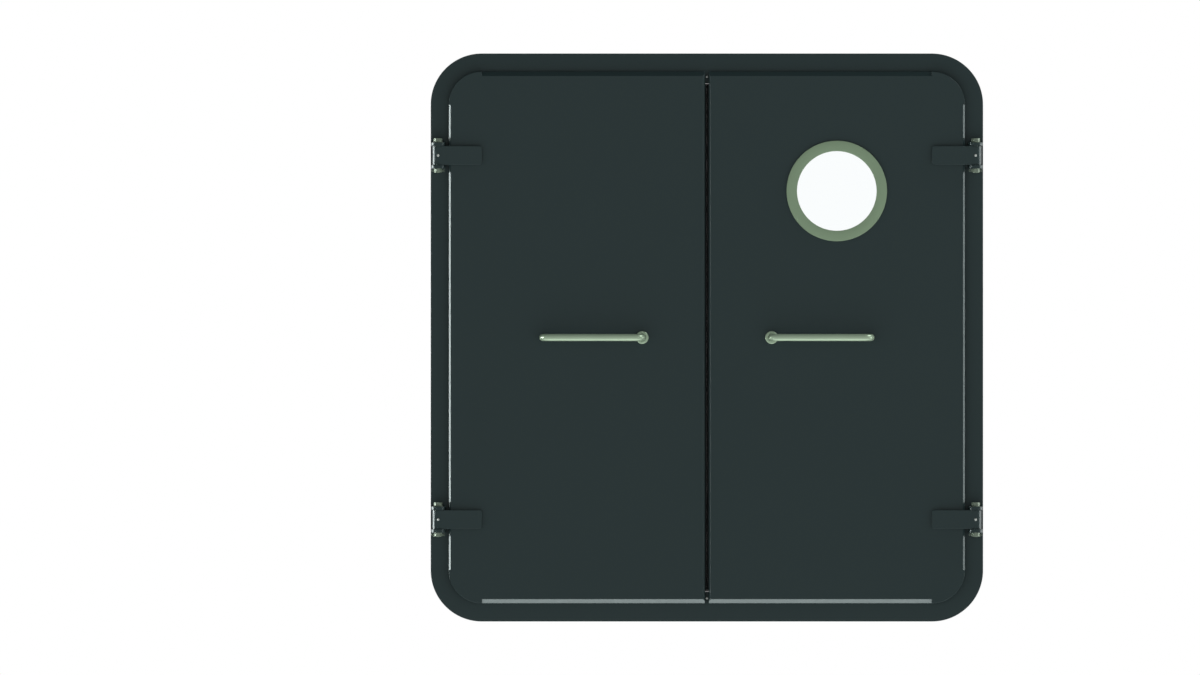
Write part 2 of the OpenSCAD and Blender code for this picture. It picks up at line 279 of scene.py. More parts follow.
def make(name, bm, material, body, replaced=(), mirror=False, edge=0.0, segments=2,
         sharp=SMOOTH_BELOW):
    """Turns a bmesh into a piece of the door: material, body and the nodes it stands for."""
    if mirror:
        bmesh.ops.scale(bm, vec=(-1, 1, 1), verts=bm.verts)
    bmesh.ops.recalc_face_normals(bm, faces=bm.faces)
    mesh = bpy.data.meshes.new(name)
    bm.to_mesh(mesh)
    bm.free()
    piece = bpy.data.objects.new(name, mesh)
    bpy.context.scene.collection.objects.link(piece)
    mesh.materials.append(material)
    shade_smooth(mesh, sharp)
    if edge:
        rounding = piece.modifiers.new("edge_rounding", "BEVEL")
        rounding.width = edge
        rounding.segments = segments
        rounding.limit_method = "ANGLE"
        rounding.angle_limit = math.radians(35)
        rounding.harden_normals = True
    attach(piece, body)
    if replaced:
        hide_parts(*replaced)
    return piece


def shade_smooth(mesh, sharp):
    """Smooth shading, but for edges sharper than an angle in degrees."""
    mesh.polygons.foreach_set("use_smooth", [True] * len(mesh.polygons))
    mesh.set_sharp_from_angle(angle=math.radians(sharp))


def bore(piece, centre, radius, y_front, y_back, sides=128):
    """Cuts a round hole along Y through a piece."""
    bm = bmesh.new()
    place = along_y(Vector((centre.x, 0, centre.z)), 1)
    loft_solid(bm, lathe_rings([(radius, y_front), (radius, y_back)], place, sides))
    bmesh.ops.recalc_face_normals(bm, faces=bm.faces)
    mesh = bpy.data.meshes.new("cutter")
    bm.to_mesh(mesh)
    bm.free()
    cutter = bpy.data.objects.new("cutter", mesh)
    bpy.context.scene.collection.objects.link(cutter)
    hole = piece.modifiers.new("hole", "BOOLEAN")
    hole.object = cutter
    hole.solver = "EXACT"
    bpy.context.view_layer.update()
    graph = bpy.context.evaluated_depsgraph_get()
    result = bpy.data.meshes.new_from_object(piece.evaluated_get(graph))
    piece.modifiers.remove(hole)
    piece.data = result
    bpy.data.objects.remove(cutter)


# ---------------------------------------------------------------- materials

def srgb(red, green, blue):
    """A linear colour from 0 to 255 display values."""
    def linear(value):
        value /= 255
        return value / 12.92 if value <= 0.04045 else ((value + 0.055) / 1.055) ** 2.4
    return (linear(red), linear(green), linear(blue), 1)


def node(tree, kind, **inputs):
    """A shader node with some of its inputs set."""
    made = tree.nodes.new(kind)
    for name, value in inputs.items():
        made.inputs[name].default_value = value
    return made


def noise(tree, coords, scale, detail=2.0, stretch=(1, 1, 1)):
    """Noise from 0 to 1 over the object's coordinates."""
    mapping = node(tree, "ShaderNodeMapping", Scale=stretch)
    texture = node(tree, "ShaderNodeTexNoise", Scale=scale, Detail=detail)
    tree.links.new(coords, mapping.inputs["Vector"])
    tree.links.new(mapping.outputs["Vector"], texture.inputs["Vector"])
    return texture.outputs["Fac"]


def ramp(tree, value, low, high):
    """Maps a 0 to 1 value to low to high."""
    mapped = node(tree, "ShaderNodeMapRange")
    mapped.inputs["To Min"].default_value = low
    mapped.inputs["To Max"].default_value = high
    tree.links.new(value, mapped.inputs["Value"])
    return mapped.outputs["Result"]


def tint(tree, value, colour, spread):
    """A colour that drifts by plus or minus spread with a 0 to 1 value."""
    mix = tree.nodes.new("ShaderNodeMix")
    mix.data_type = "RGBA"
    dark = [c * (1 - spread) for c in colour[:3]] + [1]
    light = [c * (1 + spread) for c in colour[:3]] + [1]
    mix.inputs[6].default_value = dark
    mix.inputs[7].default_value = light
    tree.links.new(value, mix.inputs[0])
    return mix.outputs[2]


def bump(tree, height, strength, distance):
    """A normal tilted by a height from 0 to 1, which stands for a distance."""
    made = node(tree, "ShaderNodeBump", Strength=strength, Distance=distance)
    tree.links.new(height, made.inputs["Height"])
    return made.outputs["Normal"]


def new_material(name):
    """A material with its node tree, its shader and the object's coordinates."""
    material = bpy.data.materials.new(name)
    material.use_nodes = True
    tree = material.node_tree
    shader = tree.nodes["Principled BSDF"]
    coords = tree.nodes.new("ShaderNodeTexCoord").outputs["Object"]
    return material, tree, shader, coords


def paint(name, colour):
    """Satin paint: slow drift in tone, slight orange peel, uneven gloss."""
    material, tree, shader, coords = new_material(name)
    drift = noise(tree, coords, 3.0, 3.0)
    mottle = noise(tree, coords, 60.0, 2.0)
    tree.links.new(tint(tree, drift, colour, 0.02), shader.inputs["Base Color"])
    tree.links.new(ramp(tree, mottle, 0.28, 0.34), shader.inputs["Roughness"])
    shader.inputs["Specular IOR Level"].default_value = 0.5
    shader.inputs["Specular Tint"].default_value = (0.86, 1.0, 0.99, 1)
    tree.links.new(bump(tree, noise(tree, coords, 420.0), 0.05, 0.3 * MM), shader.inputs["Normal"])
    return material


def satin_metal(name, colour, metallic, roughness=(0.30, 0.40), stretch=(1, 1, 1), grain=0.05):
    """Satin metal with a fine grain that can be drawn out along one direction."""
    material, tree, shader, coords = new_material(name)
    lines = noise(tree, coords, 900.0, 2.0, stretch)
    drift = noise(tree, coords, 14.0, 3.0)
    tree.links.new(tint(tree, drift, colour, 0.05), shader.inputs["Base Color"])
    tree.links.new(ramp(tree, lines, *roughness), shader.inputs["Roughness"])
    shader.inputs["Metallic"].default_value = metallic
    tree.links.new(bump(tree, lines, grain, 0.1 * MM), shader.inputs["Normal"])
    return material


def rubber(name, colour):
    """Matt rubber with an uneven tone and a fine roughness."""
    material, tree, shader, coords = new_material(name)
    drift = noise(tree, coords, 30.0, 3.0)
    tree.links.new(tint(tree, drift, colour, 0.15), shader.inputs["Base Color"])
    tree.links.new(ramp(tree, drift, 0.65, 0.85), shader.inputs["Roughness"])
    shader.inputs["Specular IOR Level"].default_value = 0.3
    tree.links.new(bump(tree, noise(tree, coords, 700.0), 0.2, 0.2 * MM), shader.inputs["Normal"])
    return material


def clear_glass(name):
    """Clear glass with a slight tint."""
    material, tree, shader, coords = new_material(name)
    shader.inputs["Base Color"].default_value = (0.97, 0.995, 1.0, 1)
    shader.inputs["Transmission Weight"].default_value = 1.0
    shader.inputs["IOR"].default_value = 1.3
    tree.links.new(ramp(tree, noise(tree, coords, 5.0), 0.0, 0.01), shader.inputs["Roughness"])
    return material


FRAME_PAINT = paint("frame_paint", srgb(34, 47, 48))
LEAF_PAINT = paint("leaf_paint", srgb(35, 48, 49))
STRAP_PAINT = paint("strap_paint", srgb(36, 49, 50))
RING_METAL = satin_metal("ring_metal", srgb(138, 162, 133), 0.45)
LEVER_METAL = satin_metal("lever_metal", srgb(170, 193, 167), 0.5, (0.29, 0.36), (0.05, 1, 1))
PLATED_STEEL = satin_metal("plated_steel", srgb(118, 133, 118), 0.4, (0.35, 0.5), grain=0.1)
NIPPLE_STEEL = satin_metal("nipple_steel", srgb(178, 184, 180), 0.3, (0.3, 0.4))
SEAL_RUBBER = rubber("seal_rubber", srgb(16, 20, 20))
FIRE_GLASS = clear_glass("fire_glass")


# ---------------------------------------------------------------- frame

def door_loop(inset):
    """Closed outline of the frame at an inset, as (x, z)."""
    r = CORNER_R - inset
    x = HALF_W - CORNER_R
    z_top = HEIGHT - CORNER_R
    corners = ((x, CORNER_R, -90), (x, z_top, 0), (-x, z_top, 90), (-x, CORNER_R, 180))
    return [p for cx, cz, start in corners for p in arc(cx, cz, r, start, start + 90)]


def frame_body():
    """The face plate and coaming as one welded ring."""
    section = [
        (0, PLATE_Y), (PLATE_W, PLATE_Y), (PLATE_W, COAMING_Y),
        (PLATE_W - COAMING_T, COAMING_Y), (PLATE_W - COAMING_T, 0), (0, 0),
    ]
    bm = bmesh.new()
    rings = [
        [Vector((x, y, z)) for x, z in door_loop(inset)]
        for inset, y in fillet(section, EDGE_R)
    ]
    loft(bm, rings, wrap=True)
    nodes = ["frame_head", "frame_sill", "frame_left_jamb", "frame_right_jamb"]
    nodes += [f"frame_{v}_{h}_corner" for v in ("top", "bottom") for h in SIDES]
    make("frame_body", bm, FRAME_PAINT, "frame", nodes)


def centre_studs():
    """Round-headed studs on the face plate at both ends of the gap between the leaves."""
    lo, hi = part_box("centre_studs")
    r = (hi.x - lo.x) / 2
    h = hi.y - lo.y
    dome = [(r, 0), (r, h * 0.5), (r * 0.92, h * 0.75), (r * 0.7, h * 0.92), (r * 0.35, h)]
    bm = bmesh.new()
    for z in (lo.z + r, hi.z - r):
        loft_solid(bm, lathe_rings(dome, along_y(Vector((0, hi.y, z))), 32))
    make("centre_stud_heads", bm, NIPPLE_STEEL, "frame", ["centre_studs"])


# ---------------------------------------------------------------- leaves

def leaf_path(inset, edge_x):
    """Outline of the right leaf from its lower meeting corner round to the upper one, as (x, z)."""
    r = CORNER_R - inset
    x = HALF_W - CORNER_R
    return (
        [(edge_x, inset)]
        + arc(x, CORNER_R, r, -90, 0)
        + arc(x, HEIGHT - CORNER_R, r, 0, 90)
        + [(edge_x, HEIGHT - inset)]
    )


def leaf_face(side):
    """Front pan: straight edges bevelled, corner arcs square, mitres at the meeting corners."""
    bm = bmesh.new()
    x_arc = HALF_W - CORNER_R
    x_edge = HALF_W - LAP_INSET
    z_lo, z_hi = LAP_INSET, HEIGHT - LAP_INSET
    r = CORNER_R - LAP_INSET

    def vertex(x, y, z):
        return bm.verts.new((x, y, z))

    def half(level):
        """Vertices of the bottom half for level 1, or of the top half for level -1."""
        edge = z_lo if level > 0 else z_hi
        arc_z = CORNER_R if level > 0 else HEIGHT - CORNER_R
        start, end = (-90, 0) if level > 0 else (90, 0)
        bend = arc(x_arc, arc_z, r, start, end)
        return {
            "inner": vertex(MEET_X + BEVEL_SIDE, FACE_Y, edge + level * BEVEL_TOP),
            "along": vertex(x_arc, FACE_Y, edge + level * BEVEL_TOP),
            "foot": vertex(x_arc, FACE_Y + BEVEL_TOP, edge),
            "corner": vertex(MEET_X, FACE_Y + BEVEL_TOP, edge),
            "mitre": vertex(MEET_X, FACE_Y + BEVEL_SIDE, edge + level * (BEVEL_TOP - BEVEL_SIDE)),
            "bend": [vertex(x, FACE_Y, z) for x, z in bend],
            "back_bend": [vertex(x, PAN_BACK_Y, z) for x, z in bend],
            "side_in": vertex(x_edge - BEVEL_SIDE, FACE_Y, arc_z),
            "side_foot": vertex(x_edge, FACE_Y + BEVEL_SIDE, arc_z),
            "back_corner": vertex(MEET_X, PAN_BACK_Y, edge),
        }

    low, high = half(1), half(-1)
    bm.faces.new(
        [low["inner"], low["along"]] + low["bend"] + [low["side_in"], high["side_in"]]
        + high["bend"][::-1] + [high["along"], high["inner"]]
    )
    bm.faces.new((low["inner"], low["mitre"], high["mitre"], high["inner"]))
    bm.faces.new((low["side_in"], low["side_foot"], high["side_foot"], high["side_in"]))
    bm.faces.new((low["mitre"], low["corner"], low["back_corner"],
                  high["back_corner"], high["corner"], high["mitre"]))
    bm.faces.new((low["side_foot"], low["back_bend"][-1], high["back_bend"][-1], high["side_foot"]))
    bm.faces.new([low["back_corner"]] + low["back_bend"] + high["back_bend"][::-1]
                 + [high["back_corner"]])
    for h in (low, high):
        bm.faces.new((h["inner"], h["along"], h["foot"], h["corner"], h["mitre"]))
        bm.faces.new((h["along"], h["bend"][0], h["foot"]))
        bm.faces.new((h["side_in"], h["bend"][-1], h["side_foot"]))
        bm.faces.new((h["corner"], h["foot"], h["back_bend"][0], h["back_corner"]))
        last = len(h["bend"]) - 2
        for i in range(last + 1):
            wall = [h["bend"][i], h["bend"][i + 1], h["back_bend"][i + 1], h["back_bend"][i]]
            if i == last:
                wall.insert(2, h["side_foot"])
            if i == 0:
                wall.append(h["foot"])
            bm.faces.new(wall)
    piece = make(f"{side}_leaf_face", bm, LEAF_PAINT, f"{side}_leaf",
                 [f"{side}_leaf_pan"], SIDES[side] < 0, EDGE_R, 3)
    if side == "right":
        cut_window(piece)


def cut_window(piece):
    """Opens the window's hole in a piece of the right leaf, before its edges are rounded."""
    lo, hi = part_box("window_liner")
    overshoot = 0.01
    rounding = piece.modifiers["edge_rounding"]
    rounding.show_viewport = False
    bore(piece, WINDOW, (hi.x - lo.x) / 2 - LINER_T, FACE_Y - overshoot, BACK_Y + overshoot)
    rounding.show_viewport = True
    shade_smooth(piece.data, SMOOTH_BELOW)


def leaf_back(side):
    """Rear casing, a plain box with round outer corners."""
    bm = bmesh.new()
    path = leaf_path(CASING_INSET, MEET_X)
    loft_solid(bm, [[Vector((x, y, z)) for x, z in path] for y in (PAN_BACK_Y, BACK_Y)])
    piece = make(f"{side}_leaf_back", bm, LEAF_PAINT, f"{side}_leaf",
                 [f"{side}_leaf_casing"], SIDES[side] < 0, CASING_EDGE_R, 3)
    if side == "right":
        cut_window(piece)


def rim_gasket(side):
    """Ribbed rubber strip behind the pan's lap."""
    lo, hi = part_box("right_rim_seal")
    outer = HALF_W - hi.x
    base_y = lo.y + (hi.y - lo.y) * 0.45
    section = [(outer, lo.y), (outer + RIM_SEAL_W, lo.y)]
    for k in range(RIB_COUNT):
        foot, tip, valley = (outer + RIM_SEAL_W * (1 - (k + part) / RIB_COUNT) for part in (0, 0.5, 1))
        section += [(foot, base_y), (tip + RIB_HALF_W, hi.y), (tip - RIB_HALF_W, hi.y)]
        if k < RIB_COUNT - 1:
            section.append((valley, base_y))
    section.append((outer, base_y))
    runs = [[Vector((x, y, z)) for x, z in leaf_path(inset, lo.x)] for inset, y in section]
    bm = bmesh.new()
    loft_solid(bm, [list(station) for station in zip(*runs)])
    make(f"{side}_rim_gasket", bm, SEAL_RUBBER, f"{side}_leaf",
         [f"{side}_rim_seal"], SIDES[side] < 0)


def meeting_bulb(side):
    """Half-round bulb along the meeting edge. The two bulbs just meet."""
    lo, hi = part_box("right_meeting_seal")
    y = (lo.y + hi.y) / 2
    r = MEET_X - BULB_GAP
    turns = [math.pi * k / 16 for k in range(17)]
    bulb = [(MEET_X - r * math.sin(a), y - r * math.cos(a)) for a in turns]
    ends = (PLATE_W + SEAL_END_GAP, HEIGHT - PLATE_W - SEAL_END_GAP)
    bm = bmesh.new()
    loft_solid(bm, [[Vector((x, bulb_y, z)) for x, bulb_y in bulb] for z in ends])
    make(f"{side}_meeting_bulb", bm, SEAL_RUBBER, f"{side}_leaf",
         [f"{side}_meeting_seal"], SIDES[side] < 0)


def latch_plate(side):
    """Face plate of the lock, with rounded corners."""
    lo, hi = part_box("right_latch_plate")
    y_mid, z_mid = (lo.y + hi.y) / 2, (lo.z + hi.z) / 2
    half_w, half_h = (hi.y - lo.y) / 2, (hi.z - lo.z) / 2
    r = half_w * 0.45
    y, z = half_w - r, half_h - r
    corners = ((y, -z, -90), (y, z, 0), (-y, z, 90), (-y, -z, 180))
    outline = [p for cy, cz, start in corners for p in arc(cy, cz, r, start, start + 90, 6)]
    bm = bmesh.new()
    loft_solid(bm, [[Vector((x, y_mid + y, z_mid + z)) for y, z in outline] for x in (lo.x, hi.x)])
    make(f"{side}_latch_face", bm, PLATED_STEEL, f"{side}_leaf",
         [f"{side}_latch_plate"], SIDES[side] < 0, PLATE_EDGE_R)
    bm = bmesh.new()
    for z in (z_mid - half_h * 0.84, z_mid + half_h * 0.84):
        plate_screw(bm, Vector((lo.x, y_mid, z)))
    latch_nose(bm, lo.x, hi.x, y_mid, z_mid)
    make(f"{side}_latch_nose", bm, PLATED_STEEL, f"{side}_leaf", (), SIDES[side] < 0)


def plate_screw(bm, place):
    """Countersunk screw with a round socket."""
    head = [(SCREW_R, -1 * MM), (SCREW_R, 0.15 * MM), (SCREW_R - 0.4 * MM, 0.35 * MM),
            (1.6 * MM, 0.35 * MM), (1.4 * MM, -0.6 * MM)]
    loft_solid(bm, lathe_rings(head, inwards(place), 24))


def latch_nose(bm, x_front, x_back, y_mid, z_mid):
    """The latch's nose in the plate, sloped towards the front."""
    z_lo, z_hi = z_mid - NOSE_H / 2, z_mid + NOSE_H / 2
    y_back = y_mid + NOSE_W / 2
    rings = []
    for x, y in ((x_back, y_mid - NOSE_W / 2), (x_front - NOSE_RISE, y_mid - NOSE_W * 0.2)):
        ring = ((y, z_lo), (y, z_hi), (y_back, z_hi), (y_back, z_lo))
        rings.append([Vector((x, ring_y, z)) for ring_y, z in ring])
    loft_solid(bm, rings)


# ---------------------------------------------------------------- hinges

def hinge_strap(side, level):
    """Leaf plate that thickens from its rounded end and runs flush into the knuckle."""
    half = (strap_hi.z - strap_lo.z) / 2
    run = PIN.x - strap_lo.x
    touch = math.atan2(-STRAP_T, -run) + math.acos(KNUCKLE_R / math.hypot(run, STRAP_T))
    outline = [(strap_lo.x, PIN.y), (strap_lo.x, PIN.y - STRAP_T)]
    outline += arc(PIN.x, PIN.y, KNUCKLE_R, math.degrees(touch), 180, 40)
    bm = bmesh.new()
    ends_z = (HINGE_LEVELS[level] - half, HINGE_LEVELS[level] + half)
    loft_solid(bm, [[Vector((x, y, z)) for x, y in outline] for z in ends_z])
    same = 1e-6
    ends = [e for e in bm.edges
            if all(abs(v.co.x - strap_lo.x) < same for v in e.verts)
            and abs(e.verts[0].co.z - e.verts[1].co.z) < same]
    bmesh.ops.bevel(bm, geom=ends, offset=STRAP_CORNER_R, segments=8, affect="EDGES", profile=0.5)
    make(f"{side}_{level}_hinge_leaf", bm, STRAP_PAINT, f"{side}_leaf",
         [f"{side}_{level}_strap"], SIDES[side] < 0, HINGE_EDGE_R)


def hinge_lug_pair(side, level):
    """The two lugs that a knuckle turns between, with a weld bead round each one's foot."""
    lo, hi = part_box(f"right_{level}_hinge_lugs")
    r = (hi.x - lo.x) / 2
    bottoms = (lo.z, hi.z - LUG_T)
    outline = [(PIN.x + r, PLATE_Y), (PIN.x - r, PLATE_Y)]
    outline += arc(PIN.x, PIN.y, r, 180, 360, 32)
    bm = bmesh.new()
    for bottom in bottoms:
        loft_solid(bm, [[Vector((x, y, z)) for x, y in outline] for z in (bottom, bottom + LUG_T)])
    make(f"{side}_{level}_lug_pair", bm, FRAME_PAINT, "frame",
         [f"{side}_{level}_hinge_lugs"], SIDES[side] < 0, HINGE_EDGE_R)
    inner, outer = PIN.x - r, PIN.x + r - WELD_R
    bm = bmesh.new()
    for bottom in bottoms:
        top = bottom + LUG_T
        corners = ((inner, bottom), (outer, bottom), (outer, top), (inner, top))
        loft(bm, bead_rings(corners), wrap=True)
    make(f"{side}_{level}_lug_welds", bm, FRAME_PAINT, "frame", (), SIDES[side] < 0)


def bead_rings(corners):
    """Rings of an uneven weld bead round a closed path on the face plate, as (x, z)."""
    points, radii = [], []
    for i, (x0, z0) in enumerate(corners):
        x1, z1 = corners[(i + 1) % len(corners)]
        steps = max(3, int(math.hypot(x1 - x0, z1 - z0) / WELD_STEP))
        for k in range(steps):
            t = k / steps
            points.append(Vector((x0 + (x1 - x0) * t, PLATE_Y, z0 + (z1 - z0) * t)))
            radii.append(WELD_R * (1 + 0.1 * math.sin(2.1 * (len(points) + 5 * i))))
    turns = [2 * math.pi * k / 10 for k in range(10)]
    rings = []
    for i, (point, r) in enumerate(zip(points, radii)):
        along = (points[(i + 1) % len(points)] - points[i - 1]).normalized()
        out = along.cross(-FORWARD)
        rings.append([point + out * (r * math.cos(a)) + FORWARD * (r * math.sin(a)) for a in turns])
    return rings


def bolt_rings(place, top):
    """A bolt from its tip up to its flanged hex head, which starts at the height top."""
    tip = -top - NUT_H - BOLT_END
    turned = [
        (BOLT_R * 0.8, tip), (BOLT_R * 0.98, tip + 0.9 * MM), (BOLT_R, -top), (BOLT_R, top),
        (FLARE_R - 0.4 * MM, top), (FLARE_R, top + 0.5 * MM),
        (FLARE_R - 0.6 * MM, top + 1.4 * MM), (FLARE_R - 2.8 * MM, top + FLARE_H),
    ]
    crown = [(HEX_APOTHEM * 0.93, top + HEAD_TOP), (HEX_APOTHEM * 0.80, top + HEAD_TOP - 0.4 * MM)]
    return (
        lathe_rings(turned, place, 72)
        + [hex_ring(HEX_APOTHEM, top + FLARE_H + 0.2 * MM, -1, place, 1.0),
           hex_ring(HEX_APOTHEM, top + HEAD_TOP, 1, place, HEX_APOTHEM * 0.98)]
        + lathe_rings(crown, place, 72)
    )


def nut_rings(place, top):
    """A nut from its lower face up to the lug's lower side, at the height -top."""
    bore_r = BOLT_R * 1.01
    base = -top - NUT_H
    washer_r = HEX_APOTHEM * 1.02
    foot = [(bore_r, base), (HEX_APOTHEM * 0.96, base)]
    seat = [(washer_r, -top - 0.5 * MM), (washer_r, -top), (bore_r, -top)]
    return (
        lathe_rings(foot, place, 72)
        + [hex_ring(HEX_APOTHEM, base + 0.2 * MM, -1, place, HEX_APOTHEM * 0.98),
           hex_ring(HEX_APOTHEM, -top - 0.9 * MM, 1, place, HEX_APOTHEM)]
        + lathe_rings(seat, place, 72)
    )


def hinge_bolt_set():
    """Flanged hex bolts, nuts and split pins of all four hinges."""
    bolts, nuts, pins = bmesh.new(), bmesh.new(), bmesh.new()
    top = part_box("right_upper_hinge_lugs")[1].z - HINGE_LEVELS["upper"]
    for side in SIDES.values():
        for z in HINGE_LEVELS.values():
            place = along_z(Vector((side * PIN.x, PIN.y, z)))
            loft_solid(bolts, bolt_rings(place, top))
            loft(nuts, nut_rings(place, top), wrap=True)
            split_pin(pins, Vector((side * PIN.x, PIN.y, z - top - NUT_H / 2)))
    make("hinge_bolt_bodies", bolts, PLATED_STEEL, "frame", ["hinge_bolts"])
    make("hinge_nut_bodies", nuts, PLATED_STEEL, "frame", ["hinge_nuts"])
    make("hinge_cotters", pins, PLATED_STEEL, "frame", ["hinge_split_pins"])


def split_pin(bm, centre):
    """A wire bent into an eye, with two legs through the nut that splay at their ends."""
    eye_r = SPLIT_PIN_EYE_R
    eye_x = -SPLIT_PIN_REACH + eye_r
    eye = [math.radians(t) for t in range(0, 151, 15)]
    for leg in (-1, 1):
        points = [Vector((eye_x - eye_r * math.cos(a), 0, leg * eye_r * math.sin(a))) for a in eye]
        points += [Vector((x * MM, 0, leg * WIRE_R * 1.02)) for x in (-15.5, -8, 0, 8, 15.5)]
        points.append(Vector((18.5 * MM, 0, leg * 1.8 * MM)))
        points.append(Vector((SPLIT_PIN_REACH, 0, leg * 3.4 * MM)))
        loft_solid(bm, tube_rings([centre + p for p in points], WIRE_R, 12, -FORWARD))


def grease_nipples(side):
    """Round-based nipple with a round head on each knuckle."""
    lo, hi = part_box("right_grease_nipples")
    r = (hi.x - lo.x) / 2
    h = PIN.y - KNUCKLE_R - lo.y
    profile = [(r * 0.8, -1 * MM), (r, 0.1 * MM)]
    for wide, high in ((1, 0.35), (0.86, 0.45), (0.5, 0.5), (0.5, 0.6), (0.7, 0.72), (0.7, 0.85),
                       (0.5, 1), (0.2, 1)):
        profile.append((r * wide, h * high))
    bm = bmesh.new()
    for z in HINGE_LEVELS.values():
        place = along_y(Vector((PIN.x, PIN.y - KNUCKLE_R, z)))
        loft_solid(bm, lathe_rings(profile, place, 24))
    make(f"{side}_nipple_heads", bm, NIPPLE_STEEL, f"{side}_leaf",
         [f"{side}_grease_nipples"], SIDES[side] < 0)


# ---------------------------------------------------------------- handles

def lever_path(lo, hi, r, face):
    """Centre line of a lever: neck, bend, bar, bend and the end that turns back."""
    towards = 1 if face == "front" else -1
    root = FACE_Y if face == "front" else BACK_Y
    bar_y = (lo.y + r) if face == "front" else (hi.y - r)
    x0, x1 = lo.x + r, hi.x - r
    z = LEVER_AXIS.z
    bend = LEVER_BEND_R
    foot_y = root - towards * 0.5 * MM
    end_y = root - towards * LEVER_END_GAP
    bend_y = bar_y + towards * bend
    quarter = [math.radians(5 * k) for k in range(19)]
    path = [(x0, foot_y + (bend_y - foot_y) * k / 4) for k in range(4)]
    path += [(x0 + bend * (1 - math.cos(a)), bend_y - towards * bend * math.sin(a)) for a in quarter]
    path += [(x0 + bend + (x1 - x0 - 2 * bend) * k / 12, bar_y) for k in range(1, 12)]
    path += [(x1 - bend * (1 - math.sin(a)), bend_y - towards * bend * math.cos(a)) for a in quarter]
    path += [(x1, bend_y + (end_y - bend_y) * k / 4) for k in range(1, 5)]
    return [Vector((x, y, z)) for x, y in path], Vector((0, towards, 0))


def lever(side, face):
    """Round bar that stands off the leaf on a neck, runs outwards and turns back at its end."""
    lo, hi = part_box(f"right_{face}_lever")
    r = (hi.z - lo.z) / 2
    points, towards = lever_path(lo, hi, r, face)
    end = points.pop()
    radii = [r] * len(points)
    for back, slimmer in ((1, 0), (0.35, 0.35), (0, 1)):
        points.append(end - towards * (LEVER_CHAMFER * back))
        radii.append(r - LEVER_CHAMFER * slimmer)
    bm = bmesh.new()
    loft_solid(bm, tube_rings(points, radii, 48))
    make(f"{side}_{face}_lever_bar", bm, LEVER_METAL, f"{side}_handle",
         [f"{side}_{face}_lever"], SIDES[side] < 0, sharp=40)


def roses(side):
    """Turned collars that the levers' necks run in."""
    r = (rose_hi.x - rose_lo.x) / 2
    thick = FACE_Y - rose_lo.y
    lip = 0.8 * MM
    profile = [
        (ROSE_BORE_R, 0), (r, 0), (r, thick * 0.7), (r - 0.6 * MM, thick * 0.85),
        (r - 2 * MM, thick * 0.97), (r - 3.2 * MM, thick), (ROSE_BORE_R + lip, thick),
        (ROSE_BORE_R, thick - lip),
    ]
    bm = bmesh.new()
    for base, direction in ((FACE_Y, -1), (BACK_Y, 1)):
        place = along_y(Vector((LEVER_AXIS.x, base, LEVER_AXIS.z)), direction)
        loft(bm, lathe_rings(profile, place, 64), wrap=True)
    make(f"{side}_rose_collars", bm, LEVER_METAL, f"{side}_leaf",
         [f"{side}_handle_roses"], SIDES[side] < 0)


# ---------------------------------------------------------------- window

def window_rings(inner, outer, thick):
    """Front and rear rings, with a rounded bevel on both edges."""
    b = RING_BEVEL
    profile = [
        (inner, 0), (outer, 0), (outer, thick - b), (outer - b * 0.3, thick - b * 0.3),
        (outer - b, thick), (inner + b, thick), (inner + b * 0.3, thick - b * 0.3),
        (inner, thick - b),
    ]
    for face, base, direction in (("front", FACE_Y, -1), ("back", BACK_Y, 1)):
        bm = bmesh.new()
        place = along_y(Vector((WINDOW.x, base, WINDOW.z)), direction)
        loft(bm, lathe_rings(profile, place, 160), wrap=True)
        make(f"window_{face}_ring", bm, RING_METAL, "right_leaf",
             [f"window_ring_{face}"])


def window_pane(r):
    """The glass disc, with chamfered edges."""
    c = GLASS_CHAMFER
    depth = glass_hi.y - glass_lo.y
    disc = [(r - c, 0), (r, c), (r, depth - c), (r - c, depth)]
    place = along_y(Vector((WINDOW.x, glass_lo.y, WINDOW.z)), 1)
    bm = bmesh.new()
    loft_solid(bm, lathe_rings(disc, place, 160))
    make("window_pane", bm, FIRE_GLASS, "right_leaf", ["window_glass"])


def window_gaskets(inner, r):
    """Seals between the glass and the rings, with a lip that reaches in."""
    place = along_y(Vector((WINDOW.x, 0, WINDOW.z)), 1)
    bm = bmesh.new()
    for y0, y1 in ((FACE_Y, glass_lo.y), (glass_hi.y, BACK_Y)):
        strip = [(inner + GASKET_LIP, y0), (r, y0), (r, y1), (inner + GASKET_LIP, y1),
                 (inner, (y0 + y1) / 2)]
        loft(bm, lathe_rings(strip, place, 128), wrap=True)
    make("window_gaskets", bm, SEAL_RUBBER, "right_leaf", ["window_seals"])


def window():
    """Rings, glass and seals of the right leaf's window."""
    ring_lo, ring_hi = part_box("window_ring_front")
    outer = (ring_hi.z - ring_lo.z) / 2
    glass_r = (glass_hi.z - glass_lo.z) / 2
    window_rings(outer - RING_W, outer, ring_hi.y - ring_lo.y)
    window_pane(glass_r)
    window_gaskets(outer - RING_W, glass_r)


# ---------------------------------------------------------------- stage, light and camera

def stage_floor():
    """A pale floor that shows the object's shadow but doesn't hide the light that comes from below."""
    bm = bmesh.new()
    bmesh.ops.create_grid(bm, x_segments=4, y_segments=4, size=FLOOR_REACH)
    mesh = bpy.data.meshes.new("studio_floor")
    bm.to_mesh(mesh)
    bm.free()
    floor = bpy.data.objects.new("studio_floor", mesh)
    floor.location = (0, 0, -FLOOR_DROP)
    floor.visible_glossy = False
    floor.visible_diffuse = False
    bpy.context.scene.collection.objects.link(floor)
    material, tree, shader, coords = new_material("floor_white")
    drift = noise(tree, coords, 0.6)
    tree.links.new(tint(tree, drift, (0.88, 0.88, 0.88, 1), 0.006), shader.inputs["Base Color"])
    shader.inputs["Roughness"].default_value = 0.85
    shader.inputs["Specular IOR Level"].default_value = 0.1
    mesh.materials.append(material)
    return floor


